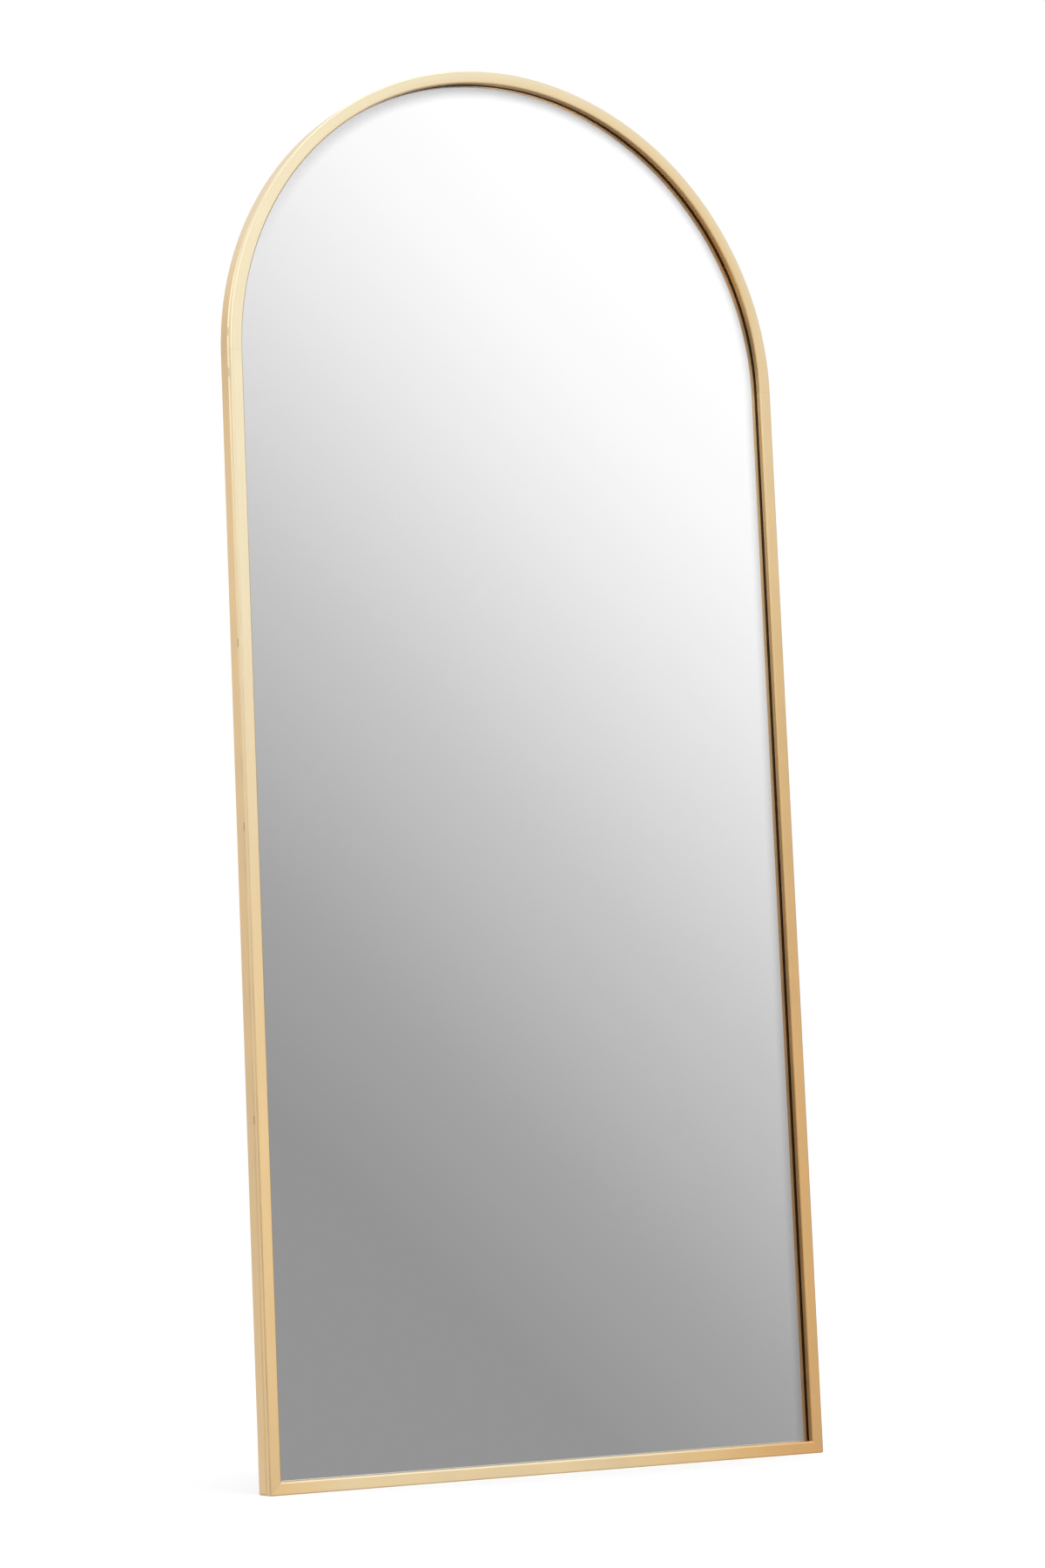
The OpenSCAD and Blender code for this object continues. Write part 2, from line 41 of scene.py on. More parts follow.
def linearColour(hexCode):
    # sRGB hex to the linear RGBA that shaders and lamps take
    channels = [int(hexCode[i:i + 2], 16) / 255 for i in (1, 3, 5)]
    linear = [c / 12.92 if c <= 0.04045 else ((c + 0.055) / 1.055) ** 2.4 for c in channels]
    return (*linear, 1.0)


def addNode(tree, kind, inputs=None, stops=None, **settings):
    # Adds a node with its settings. An input is named or numbered, and takes a value, a socket to link
    # from, or a node to link from, whose first live output is used. Stops give a colour ramp its colours,
    # each at its place between the first and the last.
    node = tree.nodes.new("ShaderNode" + kind)
    for name, value in settings.items():
        setattr(node, name, value)
    for name, value in (inputs or {}).items():
        named = [socket for socket in node.inputs if socket.enabled and socket.name == name]
        socket = named[0] if named else node.inputs[name]
        if isinstance(value, bpy.types.Node):
            value = next(output for output in value.outputs if output.enabled)
        if isinstance(value, bpy.types.NodeSocket):
            tree.links.new(value, socket)
        else:
            socket.default_value = value
    if stops:
        first, last = min(stops), max(stops)
        elements = node.color_ramp.elements
        for place in list(stops)[1:-1]:
            elements.new((place - first) / (last - first))
        for element, colour in zip(elements, stops.values()):
            element.color = colour
    return node


def startMaterial(name):
    material = bpy.data.materials.new(name)
    material.use_nodes = True
    tree = material.node_tree
    tree.nodes.clear()
    return material, tree


def dress(material, *names):
    # Puts one finish on the named pieces, in the slots that they came with
    for name in names:
        for slot in nodes[name].material_slots:
            slot.material = material


# The photograph's camera: low, in front and to the left of the mirror, with a long lens
photoCamera = {
    "offCentre": -2.2329,      # metres to the right of the mirror's middle
    "inFront": 3.9506,         # metres in front of the frame's face
    "height": 0.295,           # metres above the bottom edge
    "heading": 29.379,         # degrees to the right of straight ahead
    "tilt": 6.589,             # degrees up
    "roll": -2.433,            # degrees about the line of sight
    "focalPixels": 4358.6,     # focal length in pixels of the photograph
    "photoHeight": 1800,       # pixels on the long side
    "filmLength": 36,          # millimetres on the long side
    "nearest": 0.05,           # metres, nothing nearer is drawn
}


def makeCamera(values):
    data = bpy.data.cameras.new("photoCamera")
    data.sensor_width = values["filmLength"]
    data.lens = values["focalPixels"] / values["photoHeight"] * values["filmLength"]
    data.clip_start = values["nearest"]
    camera = bpy.data.objects.new("photoCamera", data)
    bpy.context.scene.collection.objects.link(camera)
    turn = Matrix.Rotation(math.radians(-values["heading"]), 4, "Z")
    lean = Matrix.Rotation(math.radians(90 + values["tilt"]), 4, "X")
    roll = Matrix.Rotation(math.radians(values["roll"]), 4, "Z")
    spot = Vector((values["offCentre"], faceDepth - values["inFront"], values["height"]))
    camera.matrix_world = Matrix.Translation(spot) @ turn @ lean @ roll
    bpy.context.scene.camera = camera
    bpy.context.scene.view_settings.view_transform = "Standard"


makeCamera(photoCamera)
print("camera ready")

# The studio that the mirror shows: white overhead, grey towards the horizon, a pale floor that darkens
# towards the mirror's foot, and soft waves round the room, so that each view shows a slanting fade
studioRoom = {
    "wavePeriod": 58,          # degrees round the horizon from one wave to the next
    "waveHeight": 9.92,        # degrees that a wave rises and falls
    "fade": {                  # colour at each height in degrees above the horizon
        -60: "#c0c0c0", -40: "#c8c8c8", -26: "#d6d6d6", -15: "#f2f2f2", -10: "#949494", -2: "#949494",
        1.5: "#a4a4a4", 6.5: "#c6c6c6", 11.5: "#eaeaea", 14: "#f8f8f8", 16.5: "#ffffff",
    },
    "reflectLevel": 1.05,      # makes up for what the glass keeps back
    "fillLevel": 0.75,         # light from all round on matt surfaces
    "backdropLevel": 1.0,      # white behind the mirror
    "glowBearing": -40,        # degrees to the right of straight in front, where a window adds light
    "glowHeight": 22,          # degrees above the horizon
    "glowReach": 50,           # degrees all round it
    "glowLevel": 0.5,
}


def makeRoom(values):
    world = bpy.data.worlds.new("studioRoom")
    bpy.context.scene.world = world
    world.use_nodes = True
    tree = world.node_tree
    tree.nodes.clear()
    direction = addNode(tree, "TexCoord").outputs["Generated"]
    x, y, z = addNode(tree, "SeparateXYZ", {0: direction}).outputs
    ahead = addNode(tree, "Math", {0: y, 1: -1.0}, operation="MULTIPLY")
    bearing = addNode(tree, "Math", {0: x, 1: ahead}, operation="ARCTAN2")
    turns = addNode(tree, "Math", {0: bearing, 1: 360 / values["wavePeriod"]}, operation="MULTIPLY")
    wave = addNode(tree, "Math", {0: turns}, operation="SINE")
    rise = addNode(tree, "Math", {0: z}, operation="ARCSINE")
    height = addNode(tree, "Math", {
        0: wave, 1: math.radians(-values["waveHeight"]), 2: rise}, operation="MULTIPLY_ADD")
    share = addNode(tree, "MapRange", {
        "Value": height, "From Min": math.radians(min(values["fade"])),
        "From Max": math.radians(max(values["fade"]))})
    colours = {degrees: linearColour(colour) for degrees, colour in values["fade"].items()}
    fade = addNode(tree, "ValToRGB", {0: share}, stops=colours)
    aside, up = math.radians(values["glowBearing"]), math.radians(values["glowHeight"])
    window = (math.sin(aside) * math.cos(up), -math.cos(aside) * math.cos(up), math.sin(up))
    facing = addNode(tree, "VectorMath", {0: direction, 1: window}, operation="DOT_PRODUCT")
    glow = addNode(tree, "MapRange", {
        "Value": facing, "From Min": math.cos(math.radians(values["glowReach"])),
        "To Min": values["reflectLevel"], "To Max": values["reflectLevel"] + values["glowLevel"]},
        interpolation_type="SMOOTHSTEP")

    # The camera sees a white backdrop, mirror and metal see the room, and matt surfaces get even light
    path = addNode(tree, "LightPath").outputs
    mirrored = addNode(tree, "Math", {
        0: path["Is Glossy Ray"], 1: path["Is Transmission Ray"]}, operation="MAXIMUM")
    white = linearColour("#ffffff")
    fill = addNode(tree, "Background", {"Color": white, "Strength": values["fillLevel"]})
    backdrop = addNode(tree, "Background", {"Color": white, "Strength": values["backdropLevel"]})
    reflected = addNode(tree, "Background", {"Color": fade, "Strength": glow})
    unseen = addNode(tree, "MixShader", {0: mirrored, 1: fill, 2: reflected})
    room = addNode(tree, "MixShader", {0: path["Is Camera Ray"], 1: unseen, 2: backdrop})
    addNode(tree, "OutputWorld", {"Surface": room})


makeRoom(studioRoom)

# Softboxes round the mirror: bearing in degrees from straight in front towards the right, distance and
# height in metres, size in metres, and the level of light that each shows, where 1 is white. They light
# everything but the glass and the silvering, so that the mirror shows the plain room.
softboxes = {
    "tallSoftbox": {"bearing": 15, "distance": 3.0, "height": 1.2, "size": (0.9, 2.9), "level": 0.69},
    "lowSoftbox": {"bearing": 31, "distance": 3.1, "height": 0.2, "size": (2.2, 1.3), "level": 0.48},
    "highSoftbox": {"bearing": 32, "distance": 3.1, "height": 2.1, "size": (2.4, 1.8), "level": 0.2},
    "edgeSoftbox": {"bearing": -95, "distance": 3.0, "height": 2.2, "size": (2.6, 1.7), "level": 0.85},
    "lowEdgeSoftbox": {"bearing": -104, "distance": 3.0, "height": 0.3, "size": (1.2, 1.5), "level": 0.42},
    "sideSoftbox": {"bearing": -150, "distance": 2.8, "height": 0.75, "size": (1.6, 2.3), "level": 0.52},
    "topSoftbox": {"bearing": 0, "distance": 0.9, "height": 3.6, "size": (1.6, 1.2), "level": 1.8},
}
softboxAim = Vector((0, 0, 0.85))   # the middle of the mirror, which they all face
unlitPieces = ("mirror_glass", "silver_coating")


def makeSoftboxes(lamps):
    lit = bpy.data.collections.new("litPieces")
    for name, piece in nodes.items():
        if name not in unlitPieces:
            lit.objects.link(piece)
    for name, values in lamps.items():
        data = bpy.data.lights.new(name, "AREA")
        data.shape = "RECTANGLE"
        data.size, data.size_y = values["size"]
        data.energy = values["level"] * math.pi * data.size * data.size_y   # watts that show the level
        lamp = bpy.data.objects.new(name, data)
        bearing = math.radians(values["bearing"])
        away = Vector((math.sin(bearing), -math.cos(bearing), 0)) * values["distance"]
        lamp.location = away + Vector((0, 0, values["height"]))
        lamp.rotation_euler = (softboxAim - lamp.location).to_track_quat("-Z", "Y").to_euler()
        lamp.visible_camera = False
        lamp.light_linking.receiver_collection = lit
        bpy.context.scene.collection.objects.link(lamp)
    return lit


litPieces = makeSoftboxes(softboxes)

# The floor: plain white paper that keeps a soft shadow. Reflections pass through it to the room, and
# so does a look from below.
paperFloor = {
    "halfSize": 12,            # metres
    "colour": "#f4f4f4",
    "ownLight": 0.36,          # share of its white that no shadow takes away
}


def makeFloor(values):
    half = values["halfSize"]
    mesh = bpy.data.meshes.new("paperFloor")
    corners = [(-half, -half, 0), (half, -half, 0), (half, half, 0), (-half, half, 0)]
    mesh.from_pydata(corners, [], [(0, 1, 2, 3)])
    floor = bpy.data.objects.new("paperFloor", mesh)
    bpy.context.scene.collection.objects.link(floor)
    material, tree = startMaterial("whitePaper")
    paper = addNode(tree, "BsdfDiffuse", {"Color": linearColour(values["colour"])})
    glow = addNode(tree, "Emission", {"Strength": values["ownLight"]})
    bright = addNode(tree, "AddShader", {0: paper, 1: glow})
    path = addNode(tree, "LightPath").outputs
    seen = addNode(tree, "MixShader", {0: path["Is Camera Ray"], 1: paper, 2: bright})
    below = addNode(tree, "NewGeometry").outputs["Backfacing"]
    mirrored = addNode(tree, "Math", {
        0: path["Is Glossy Ray"], 1: path["Is Transmission Ray"]}, operation="MAXIMUM")
    through = addNode(tree, "Math", {0: below, 1: mirrored}, operation="MAXIMUM")
    clear = addNode(tree, "BsdfTransparent")
    surface = addNode(tree, "MixShader", {0: through, 1: seen, 2: clear})
    addNode(tree, "OutputMaterial", {"Surface": surface})
    mesh.materials.append(material)
    litPieces.objects.link(floor)


makeFloor(paperFloor)
print("studio ready")

# Gold anodised aluminium: extruded, etched and dyed in a bath, so it has a satin sheen with faint lines
# along each length and a clear oxide skin that adds pale highlights. Painted light lies over the dye: a
# painted sheen makes the face paler towards the top left, a painted highlight brightens the strip before the
# reveal and the reveal's floor, and painted light and shade lie on the inner walls, on the arch's rim and
# inner edge, and along the bottom rail. The reveal's bevel is dulled where the racks gripped it.
goldAnodised = {
    "dyeAndPaintedSheen": {0: "#c98f4c", 0.2: "#dcaf74", 0.56: "#e3c18b", 1: "#e8dab8"},   # from the deep dye to the pale of a painted sheen
    "paleAtBottom": 0.39,      # how pale it is at the bottom, and at the top with the painted sheen
    "paintedSheenAtTop": 0.93,
    "fadeFrom": 250,           # millimetres above the bottom edge
    "fadeTo": 1450,
    "paintedSheenLeftward": 0.5,       # how much paler a painted sheen makes it for each metre to the left
    "wallShare": 0.5,          # share of the painted sheen towards the top on the strip, the reveal and the inner walls
    "wallPaintedShade": 0.15,        # how much deeper a painted shade makes the dye of the inner walls
    "wallPaintedLight": 0.12,        # how much brighter a painted light makes them
    "wallSmoother": 0.16,      # how much smoother they are, being etched less
    "archWallPaintedShade": 0.15,        # what the arch adds to the painted shade of its walls
    "archWallPaintedLight": 0.25,        # and to their painted light
    "archRimHighlight": 0.16,           # how much paler a painted highlight makes the arch at its rim
    "archInnerShade": 0.2,          # and how much deeper a painted shade makes it at its inner edge
    "archBlend": 160,          # millimetres above the joints over which the arch's own painted light and shade come in
    "railFade": {              # how pale a painted sheen makes the bottom rail, at millimetres from the middle
        -375: 0.5, -280: 0.76, 60: 0.74, 220: 0.52, 300: 0.2, 375: 0.14,
    },
    "railPaintedLight": 0.1,         # how much brighter a painted light makes the rail, whose lines run level
    "railEdge": 13.2,          # millimetres above the bottom edge, where a painted highlight on its inner edge starts
    "railEdgeHighlight": 0.24,
    "roughness": 0.36,         # satin etch
    "roughnessDrift": 0.05,
    "oxideSkin": 0.3,          # share of the clear skin
    "oxideIor": 1.65,          # aluminium oxide
    "oxideRoughness": 0.3,
    "lineWidth": 0.9,          # millimetres; real die lines are 0.1, drawn coarser so that they show
    "lineLength": 120,         # millimetres
    "lineDetail": 3,           # times that finer lines are laid over them
    "lineTint": 0.06,          # share by which the lines darken the dye
    "lineDepth": 0.006,        # millimetres
    "cloudSize": 60,           # millimetres, clouds from the dye bath
    "cloudDetail": 2,
    "cloudTint": 0.04,         # share by which the clouds darken and lighten the dye
    "faceEdge": 1.4,           # millimetres behind the face, where its rounded edges end
    "bevelStart": 8.9,         # millimetres behind the face
    "bevelEnd": 10.8,
    "revealDepth": 0.9,        # millimetres in from the outer side that the strip and the reveal take
    "stripHighlightAtBottom": 0.05,   # how much brighter a painted highlight makes the strip and the reveal's floor
    "stripHighlightAtTop": 0.15,
    "rackMarks": (425, 763, 978, 1299),   # millimetres above the bottom edge
    "archMark": 23,            # millimetres along the bend from each end of the arch
    "markLength": 10,          # millimetres
    "markTint": 0.3,           # how much darker a mark is
}


def placeOnFrame(tree, values, runsAlong):
    # Where a point lies: across the frame, along it, and both together with the bend unrolled, so that
    # the lines follow it. Bent is 0 on the straight lengths and rises to 1 on the arch.
    x, y, z = addNode(tree, "SeparateXYZ", {0: addNode(tree, "TexCoord").outputs["Object"]}).outputs
    at = {"x": x, "y": y, "z": z, "bent": 0.0, "walls": 0.0}
    if runsAlong == "arch":
        rise = addNode(tree, "Math", {0: z, 1: springHeight}, operation="SUBTRACT")
        angle = addNode(tree, "Math", {0: rise, 1: x}, operation="ARCTAN2")
        flat = addNode(tree, "CombineXYZ", {0: x, 1: rise})
        at["run"] = addNode(tree, "Math", {0: angle, 1: halfWidth}, operation="MULTIPLY")
        at["across"] = addNode(tree, "VectorMath", {0: flat}, operation="LENGTH")
        at["bent"] = addNode(tree, "MapRange", {"Value": rise, "From Max": values["archBlend"] * mm})
        at["marks"] = [values["archMark"] * mm, math.pi * halfWidth - values["archMark"] * mm]
    elif runsAlong == "upright":
        at["run"] = z
        at["across"] = addNode(tree, "Math", {0: x}, operation="ABSOLUTE")
        at["marks"] = [height * mm for height in values["rackMarks"]]
    else:
        at["run"] = x
        at["across"] = z
    at["unrolled"] = addNode(tree, "CombineXYZ", {0: at["across"], 1: y, 2: at["run"]})
    return at


def markAreas(tree, values, at):
    # The areas of the arch's and the stiles' section, each 1 where a point lies on it and 0 elsewhere
    depth = addNode(tree, "Math", {0: at["y"], 1: faceDepth}, operation="SUBTRACT")
    reach = halfWidth - values["revealDepth"] * mm
    at["outside"] = addNode(tree, "Math", {0: at["across"], 1: reach}, operation="GREATER_THAN")
    at["face"] = addNode(tree, "Math", {0: depth, 1: values["faceEdge"] * mm}, operation="LESS_THAN")
    at["ahead"] = addNode(tree, "Math", {0: depth, 1: values["bevelEnd"] * mm}, operation="LESS_THAN")
    for area, first, last in (("strip", "faceEdge", "bevelStart"), ("bevel", "bevelStart", "bevelEnd")):
        middle = (values[first] + values[last]) / 2 * mm
        half = (values[last] - values[first]) / 2 * mm
        band = addNode(tree, "Math", {0: depth, 1: middle, 2: half}, operation="COMPARE")
        at[area] = addNode(tree, "Math", {0: band, 1: at["outside"]}, operation="MULTIPLY")
    inside = addNode(tree, "Math", {0: 1.0, 1: at["outside"]}, operation="SUBTRACT")
    at["walls"] = addNode(tree, "Math", {0: inside, 1: at["face"]}, operation="GREATER_THAN")
    at["bentWalls"] = addNode(tree, "Math", {0: at["walls"], 1: at["bent"]}, operation="MULTIPLY")


def paintSheenOnSides(tree, values, at):
    # A painted sheen: paler towards the top, in full on the face, less beside it and not at all behind the
    # reveal.
    # Paler towards the left too, paler with a painted highlight at the arch's rim, and deeper with painted
    # shade at the arch's inner edge and on the inner walls.
    fades = addNode(tree, "Mix", {"Factor": at["outside"], "A": 1.0, "B": at["ahead"]})
    fading = addNode(tree, "Mix", {"Factor": 1 - values["wallShare"], "A": fades, "B": at["face"]})
    fade = addNode(tree, "MapRange", {
        "Value": at["z"], "From Min": values["fadeFrom"] * mm, "From Max": values["fadeTo"] * mm,
        "To Max": values["paintedSheenAtTop"] - values["paleAtBottom"]}, interpolation_type="SMOOTHSTEP")
    inward = addNode(tree, "MapRange", {
        "Value": at["across"], "From Min": halfWidth, "From Max": halfWidth - faceWidth,
        "To Min": values["archRimHighlight"], "To Max": -values["archInnerShade"]})
    pale = values["paleAtBottom"]
    for what, share in ((fade, fading), (at["x"], -values["paintedSheenLeftward"]), (inward, at["bent"]),
                        (at["walls"], -values["wallPaintedShade"]), (at["bentWalls"], -values["archWallPaintedShade"])):
        pale = addNode(tree, "Math", {0: what, 1: share, 2: pale}, operation="MULTIPLY_ADD")
    return pale


def paintSheenOnRail(tree, values, at):
    # A painted sheen: paler on the left and in the middle than on the right, and paler still with a painted
    # highlight along its inner edge
    along = addNode(tree, "MapRange", {
        "Value": at["x"], "From Min": min(values["railFade"]) * mm, "From Max": max(values["railFade"]) * mm})
    greys = {distance: (pale, pale, pale, 1.0) for distance, pale in values["railFade"].items()}
    fade = addNode(tree, "ValToRGB", {0: along}, stops=greys)
    edge = addNode(tree, "Math", {0: at["z"], 1: values["railEdge"] * mm}, operation="GREATER_THAN")
    return addNode(tree, "Math", {0: edge, 1: values["railEdgeHighlight"], 2: fade}, operation="MULTIPLY_ADD")


def paintHighlightsOnSides(tree, values, at):
    # Painted light: brighter with a painted highlight on the strip and with painted light on the inner walls,
    # and duller at the rack marks
    stripHighlight = addNode(tree, "MapRange", {
        "Value": at["z"], "From Min": values["fadeFrom"] * mm, "From Max": values["fadeTo"] * mm,
        "To Min": values["stripHighlightAtBottom"], "To Max": values["stripHighlightAtTop"]})
    bright = 1.0
    for area, share in (("strip", stripHighlight), ("walls", values["wallPaintedLight"]),
                        ("bentWalls", values["archWallPaintedLight"])):
        bright = addNode(tree, "Math", {0: at[area], 1: share, 2: bright}, operation="MULTIPLY_ADD")
    for mark in at["marks"]:
        gripped = addNode(tree, "Math", {
            0: at["run"], 1: mark, 2: values["markLength"] / 2 * mm}, operation="COMPARE")
        dulled = addNode(tree, "Math", {0: gripped, 1: at["bevel"]}, operation="MULTIPLY")
        bright = addNode(tree, "Math", {
            0: dulled, 1: -values["markTint"], 2: bright}, operation="MULTIPLY_ADD")
    return bright


def makeGold(name, values, runsAlong):
    material, tree = startMaterial(name)
    at = placeOnFrame(tree, values, runsAlong)
    if runsAlong == "level":
        pale = paintSheenOnRail(tree, values, at)
        # A painted light brightens the whole rail
        bright = 1 + values["railPaintedLight"]
    else:
        markAreas(tree, values, at)
        pale = paintSheenOnSides(tree, values, at)
        bright = paintHighlightsOnSides(tree, values, at)
    # The dye's ramp, paled by the painted sheen and highlights and deepened by the painted shade
    dyeAndSheenStops = {position: linearColour(colour) for position, colour in values["dyeAndPaintedSheen"].items()}
    dyeAndPaintedSheen = addNode(tree, "ValToRGB", {0: pale}, stops=dyeAndSheenStops)
    fine, long = 1 / (values["lineWidth"] * mm), 1 / (values["lineLength"] * mm)
    stretched = addNode(tree, "VectorMath", {
        0: at["unrolled"], 1: (fine, fine, long)}, operation="MULTIPLY")
    lines = addNode(tree, "TexNoise", {
        "Vector": stretched, "Scale": 1.0, "Detail": values["lineDetail"]})
    clouds = addNode(tree, "TexNoise", {
        "Vector": at["unrolled"], "Scale": 1 / (values["cloudSize"] * mm), "Detail": values["cloudDetail"]})
    cloudShade = addNode(tree, "MapRange", {
        "Value": clouds, **softSpan, "To Min": 1 - values["cloudTint"], "To Max": 1 + values["cloudTint"]})
    lineShade = addNode(tree, "MapRange", {
        "Value": lines, **softSpan, "To Min": 1 - values["lineTint"], "To Max": 1.0})
    patina = addNode(tree, "Math", {0: cloudShade, 1: lineShade}, operation="MULTIPLY")
    # Clouds and lines of the etch and the dulled rack marks, times the painted light
    patinaAndPaintedLight = addNode(tree, "Math", {0: patina, 1: bright}, operation="MULTIPLY")
    colour = addNode(tree, "VectorMath", {0: dyeAndPaintedSheen, "Scale": patinaAndPaintedLight}, operation="SCALE")
    satin = addNode(tree, "MapRange", {
        "Value": clouds, **softSpan, "To Min": values["roughness"] - values["roughnessDrift"],
        "To Max": values["roughness"] + values["roughnessDrift"]})
    roughness = addNode(tree, "Math", {
        0: at["walls"], 1: -values["wallSmoother"], 2: satin}, operation="MULTIPLY_ADD")
    relief = addNode(tree, "Bump", {"Height": lines, "Distance": values["lineDepth"] * mm})
    metal = addNode(tree, "BsdfPrincipled", {
        "Base Color": colour, "Metallic": 1.0, "Roughness": roughness, "Normal": relief,
        "Coat Weight": values["oxideSkin"], "Coat IOR": values["oxideIor"],
        "Coat Roughness": values["oxideRoughness"]})
    addNode(tree, "OutputMaterial", {"Surface": metal})
    return material


dress(makeGold("goldAnodisedArch", goldAnodised, "arch"), "arch_rail")
dress(makeGold("goldAnodisedUpright", goldAnodised, "upright"), "left_stile", "right_stile")
dress(makeGold("goldAnodisedLevel", goldAnodised, "level"), "bottom_rail")
print("frame dressed")

# Float glass: cast flat on molten tin, so it is clear and dead smooth
floatGlass = {"tint": "#fefefe", "ior": 1.52}


def makeGlass(values):
    material, tree = startMaterial("floatGlass")
    glass = addNode(tree, "BsdfPrincipled", {
        "Base Color": linearColour(values["tint"]), "Roughness": 0.0,
        "IOR": values["ior"], "Transmission Weight": 1.0})
    addNode(tree, "OutputMaterial", {"Surface": glass})
    return material


dress(makeGlass(floatGlass), "mirror_glass")

# Silvering: plated on the glass, a sharp neutral mirror, with a painted shade beside the frame's lip that is
# soft and strongest towards the top and the right
silvering = {
    "tint": "#fdfdfd",
    "shadeWidth": 19.5,        # millimetres from the lip to where the painted shade has gone
    "shadeTint": 0.4,          # what is left of the light at the lip
    "shadeBearing": 60,        # degrees above the level, towards the right, where it is strongest
    "shadeStarts": -0.2,       # cosine of the angle off that bearing at which it starts
    "shadeFull": 0.95,         # and at which it is full
}


def makeSilvering(values):
    material, tree = startMaterial("silvering")
    x, y, z = addNode(tree, "SeparateXYZ", {0: addNode(tree, "TexCoord").outputs["Object"]}).outputs
    above = addNode(tree, "Math", {0: z, 1: springHeight}, operation="SUBTRACT")
    rise = addNode(tree, "Math", {0: above, 1: 0.0}, operation="MAXIMUM")
    flat = addNode(tree, "CombineXYZ", {0: x, 1: rise})
    reach = addNode(tree, "VectorMath", {0: flat}, operation="LENGTH")
    lip = halfWidth - faceWidth
    nearLip = addNode(tree, "MapRange", {
        "Value": reach, "From Min": lip - values["shadeWidth"] * mm, "From Max": lip},
        interpolation_type="SMOOTHSTEP")
    bearing = math.radians(values["shadeBearing"])
    toward = addNode(tree, "VectorMath", {
        0: flat, 1: (math.cos(bearing), math.sin(bearing), 0)}, operation="DOT_PRODUCT")
    lean = addNode(tree, "Math", {0: toward, 1: reach}, operation="DIVIDE")
    upperRight = addNode(tree, "MapRange", {
        "Value": lean, "From Min": values["shadeStarts"], "From Max": values["shadeFull"]})
    # How much painted shade lies here: most near the lip and towards the top right
    share = addNode(tree, "Math", {0: nearLip, 1: upperRight}, operation="MULTIPLY")
    light = linearColour(values["tint"])
    paintedShade = tuple(values["shadeTint"] * channel for channel in light[:3]) + (1.0,)
    colour = addNode(tree, "Mix", {"Factor": share, "A": light, "B": paintedShade}, data_type="RGBA")
    silver = addNode(tree, "BsdfPrincipled", {"Base Color": colour, "Metallic": 1.0, "Roughness": 0.0})
    addNode(tree, "OutputMaterial", {"Surface": silver})
    return material


dress(makeSilvering(silvering), "silver_coating")
print("mirror dressed")

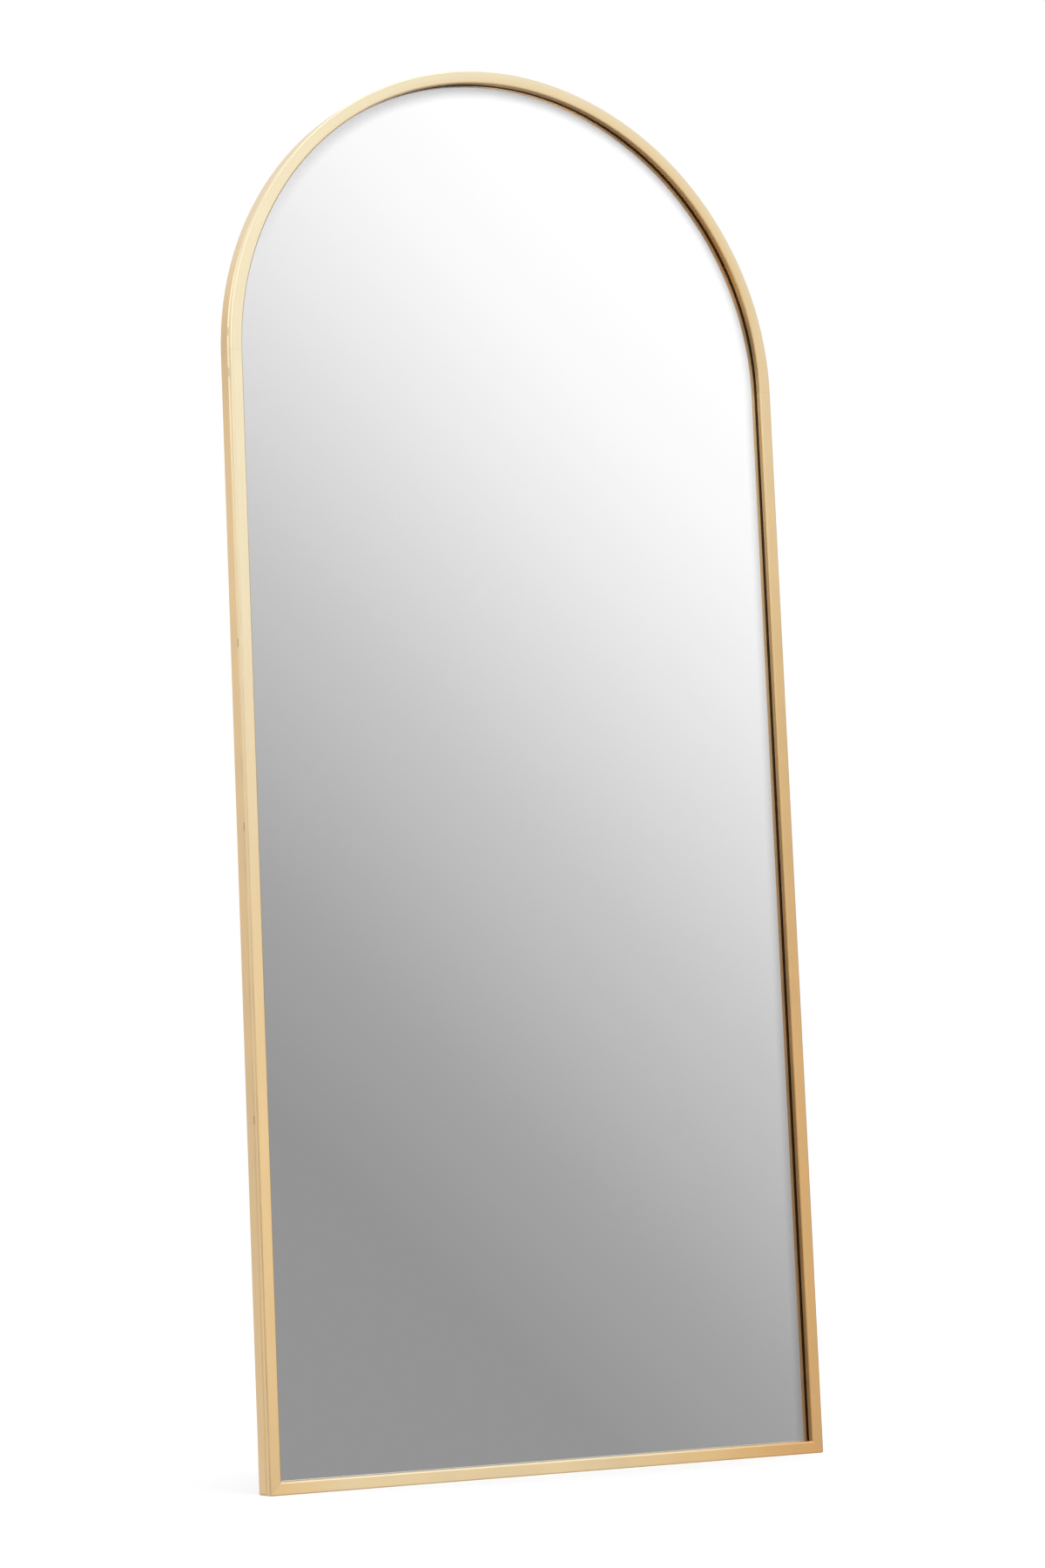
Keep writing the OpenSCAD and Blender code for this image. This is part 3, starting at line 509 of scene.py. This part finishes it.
# Everyday finishes of the pieces round the back and inside. Each has a grain that changes its colour,
# its roughness and its relief a little, and broad streaks or clouds over it, as long and as wide as the
# work that made them. Grain, depth and streak are in millimetres.
everydayFinishes = {
    # Zinc plated steel: pressed, then plated in a barrel, a bright cool grey with soft tumbling marks
    "zincPlatedSteel": {
        "colour": "#c3c7cb", "grainColour": "#a8adb3", "metallic": 1.0, "roughness": 0.34,
        "roughnessDrift": 0.08, "grain": 3.0, "depth": 0.02, "detail": 4.0,
        "streak": (30, 30, 60), "streakTint": 0.08, "specular": 0.5,
        "pieces": ("left_hanger_plate", "right_hanger_plate", "left_hanger_strap", "right_hanger_strap",
                   "left_hanger_ring", "right_hanger_ring", "hanger_screws", "bumper_screws",
                   "left_corner_key", "right_corner_key", "left_splice_key", "right_splice_key",
                   "grub_screws"),
    },
    # Phosphated steel: blackened in a bath, a dark grey sheen with a fine crystal grain. Real crystals
    # are some 0.02 mm, drawn coarser so that they show.
    "phosphatedSteel": {
        "colour": "#4a4c50", "grainColour": "#5c5f64", "metallic": 1.0, "roughness": 0.42,
        "roughnessDrift": 0.08, "grain": 0.4, "depth": 0.01, "detail": 2.0,
        "streak": (4, 4, 4), "streakTint": 0.12, "specular": 0.5,
        "pieces": ("back_board_screws",),
    },
    # EPDM rubber: moulded against blasted steel, a dull black with a bloom of dust. The blasted grain
    # is some 0.1 mm, drawn coarser so that it shows.
    "mouldedRubber": {
        "colour": "#1d1d1e", "grainColour": "#2c2b2b", "metallic": 0.0, "roughness": 0.72,
        "roughnessDrift": 0.08, "grain": 0.7, "depth": 0.03, "detail": 3.0,
        "streak": (9, 9, 9), "streakTint": 0.12, "specular": 0.3,
        "pieces": ("left_wall_bumper", "right_wall_bumper", "setting_blocks"),
    },
    # Acrylic foam tape: cast in a sheet and slit, amber brown and matt, with cut cells along its edge.
    # The cells are some 0.1 mm, drawn coarser so that they show.
    "foamTape": {
        "colour": "#a86a1a", "grainColour": "#8c5512", "metallic": 0.0, "roughness": 0.85,
        "roughnessDrift": 0.05, "grain": 0.5, "depth": 0.05, "detail": 1.0,
        "streak": (12, 12, 12), "streakTint": 0.08, "specular": 0.1,
        "pieces": ("glazing_tape", "arch_glazing_strip", "left_glazing_strip", "right_glazing_strip",
                   "bottom_glazing_strip"),
    },
    # Safety film: blown polyethylene with its adhesive, milky blue grey and slightly wavy
    "safetyFilm": {
        "colour": "#9fb0bf", "grainColour": "#8fa3b5", "metallic": 0.0, "roughness": 0.4,
        "roughnessDrift": 0.06, "grain": 18.0, "depth": 0.05, "detail": 2.0,
        "streak": (60, 60, 400), "streakTint": 0.06, "specular": 0.5,
        "pieces": ("safety_film",),
    },
    # Kraft paper liner over a honeycomb: rolled brown paper with darker fibre flecks
    "kraftPaper": {
        "colour": "#b98f62", "grainColour": "#8f6a42", "metallic": 0.0, "roughness": 0.9,
        "roughnessDrift": 0.04, "grain": 2.0, "depth": 0.05, "detail": 6.0,
        "streak": (15, 15, 150), "streakTint": 0.08, "specular": 0.2,
        "pieces": ("core_sheet",),
    },
    # Painted fibreboard: roller coated, a satin black with the roller's fine orange peel and the soft
    # bands of its strokes up the board
    "paintedFibreboard": {
        "colour": "#2a2a2c", "grainColour": "#343436", "metallic": 0.0, "roughness": 0.48,
        "roughnessDrift": 0.1, "grain": 2.5, "depth": 0.06, "detail": 3.0,
        "streak": (45, 45, 700), "streakTint": 0.28, "specular": 0.5,
        "pieces": ("back_board",),
    },
}
streakDetail = 4.0             # times that finer streaks are laid over the broad ones
driftTop = 0.5                 # grain times streak at which the roughness is highest


def makeFinish(name, values):
    material, tree = startMaterial(name)
    place = addNode(tree, "TexCoord").outputs["Object"]
    grain = addNode(tree, "TexNoise", {
        "Vector": place, "Scale": 1 / (values["grain"] * mm), "Detail": values["detail"]})
    share = addNode(tree, "MapRange", {"Value": grain, **crispSpan})
    grained = addNode(tree, "Mix", {
        "Factor": share, "A": linearColour(values["colour"]), "B": linearColour(values["grainColour"])},
        data_type="RGBA")
    stretch = tuple(1 / (length * mm) for length in values["streak"])
    stretched = addNode(tree, "VectorMath", {0: place, 1: stretch}, operation="MULTIPLY")
    streaks = addNode(tree, "TexNoise", {"Vector": stretched, "Scale": 1.0, "Detail": streakDetail})
    streakShade = addNode(tree, "MapRange", {
        "Value": streaks, **softSpan,
        "To Min": 1 - values["streakTint"], "To Max": 1 + values["streakTint"]})
    colour = addNode(tree, "VectorMath", {0: grained, "Scale": streakShade}, operation="SCALE")
    drift = addNode(tree, "Math", {0: share, 1: streaks}, operation="MULTIPLY")
    roughness = addNode(tree, "MapRange", {
        "Value": drift, "From Max": driftTop, "To Min": values["roughness"] - values["roughnessDrift"],
        "To Max": values["roughness"] + values["roughnessDrift"]})
    relief = addNode(tree, "Bump", {"Height": grain, "Distance": values["depth"] * mm})
    surface = addNode(tree, "BsdfPrincipled", {
        "Base Color": colour, "Metallic": values["metallic"], "Roughness": roughness, "Normal": relief,
        "Specular IOR Level": values["specular"]})
    addNode(tree, "OutputMaterial", {"Surface": surface})
    return material


for name, values in everydayFinishes.items():
    dress(makeFinish(name, values), *values["pieces"])
print("back and inner pieces dressed")
